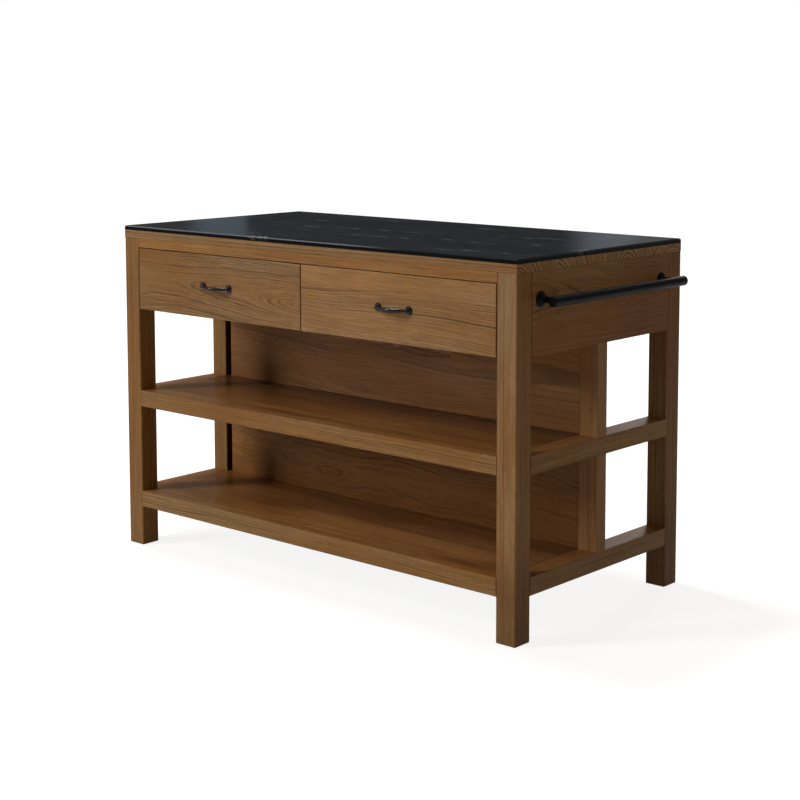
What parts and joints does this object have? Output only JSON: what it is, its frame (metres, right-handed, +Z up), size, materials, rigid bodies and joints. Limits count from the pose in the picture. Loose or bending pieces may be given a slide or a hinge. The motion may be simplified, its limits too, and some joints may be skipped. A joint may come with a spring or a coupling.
{
  "type": "kitchen table",
  "caption": "Wooden kitchen island table with a thin dark stone top, inset drawers, half-depth shelves, a rear knee space and a black towel rail at the right end.",
  "frame": {"origin": "on the floor, under the middle of the box that holds the whole table with its rail and pulls", "axes": "+X to the right end with the towel rail, -Y to the front with the drawers, +Z up"},
  "size_m": [1.4688, 0.7236, 0.914],
  "materials": {
    "black_stone": "polished",
    "brown_wood": "satin oiled",
    "plywood": "satin",
    "black_metal": "satin",
    "zinc_steel": "zinc plated"
  },
  "bodies": {
    "frame": {"stone_top": "black_stone", "top_board": "brown_wood", "leg_front_left": "brown_wood", "leg_front_right": "brown_wood", "leg_back_left": "brown_wood", "leg_back_right": "brown_wood", "front_top_rail": "brown_wood", "end_apron_left": "brown_wood", "end_apron_right": "brown_wood", "back_apron": "brown_wood", "centre_partition": "brown_wood", "slide_batten_left": "brown_wood", "slide_batten_right": "brown_wood", "middle_shelf_front_rail": "brown_wood", "middle_shelf_cross_rail": "brown_wood", "middle_shelf_side_rail_left": "brown_wood", "middle_shelf_side_rail_right": "brown_wood", "middle_shelf_board": "brown_wood", "bottom_shelf_front_rail": "brown_wood", "bottom_shelf_cross_rail": "brown_wood", "bottom_shelf_side_rail_left": "brown_wood", "bottom_shelf_side_rail_right": "brown_wood", "bottom_shelf_board": "brown_wood", "lower_divider_post_left": "brown_wood", "lower_divider_post_right": "brown_wood", "lower_divider_panel": "brown_wood", "upper_divider_post_left": "brown_wood", "upper_divider_post_right": "brown_wood", "upper_divider_panel": "brown_wood", "top_fixing_angles": "zinc_steel", "towel_rail_screws": "zinc_steel", "left_drawer_slide_left_fixed": "zinc_steel", "left_drawer_slide_right_fixed": "zinc_steel", "right_drawer_slide_left_fixed": "zinc_steel", "right_drawer_slide_right_fixed": "zinc_steel", "towel_rail_bar": "black_metal", "towel_rail_post_front": "black_metal", "towel_rail_post_back": "black_metal"},
    "left_drawer": {"left_drawer_front": "brown_wood", "left_drawer_side_left": "brown_wood", "left_drawer_side_right": "brown_wood", "left_drawer_back": "brown_wood", "left_drawer_bottom": "plywood", "left_drawer_pull": "black_metal", "left_drawer_pull_screws": "zinc_steel", "left_drawer_slide_left_moving": "zinc_steel", "left_drawer_slide_right_moving": "zinc_steel"},
    "left_slide_middles": {"left_drawer_slide_left_middle": "zinc_steel", "left_drawer_slide_right_middle": "zinc_steel"},
    "right_drawer": {"right_drawer_front": "brown_wood", "right_drawer_side_left": "brown_wood", "right_drawer_side_right": "brown_wood", "right_drawer_back": "brown_wood", "right_drawer_bottom": "plywood", "right_drawer_pull": "black_metal", "right_drawer_pull_screws": "zinc_steel", "right_drawer_slide_left_moving": "zinc_steel", "right_drawer_slide_right_moving": "zinc_steel"},
    "right_slide_middles": {"right_drawer_slide_left_middle": "zinc_steel", "right_drawer_slide_right_middle": "zinc_steel"}
  },
  "joints": [
    {"name": "left_drawer_travel", "type": "slide", "parent": "frame", "child": "left_drawer", "axis": [0, -1, 0], "range_m": [0, 0.4]},
    {"name": "left_slide_middle_travel", "type": "slide", "parent": "frame", "child": "left_slide_middles", "axis": [0, -1, 0], "range_m": [0, 0.2]},
    {"name": "right_drawer_travel", "type": "slide", "parent": "frame", "child": "right_drawer", "axis": [0, -1, 0], "range_m": [0, 0.4]},
    {"name": "right_slide_middle_travel", "type": "slide", "parent": "frame", "child": "right_slide_middles", "axis": [0, -1, 0], "range_m": [0, 0.2]}
  ],
  "couplings": [
    {"joint": "left_slide_middle_travel", "follows": "left_drawer_travel", "ratio": 0.5},
    {"joint": "right_slide_middle_travel", "follows": "right_drawer_travel", "ratio": 0.5}
  ]
}
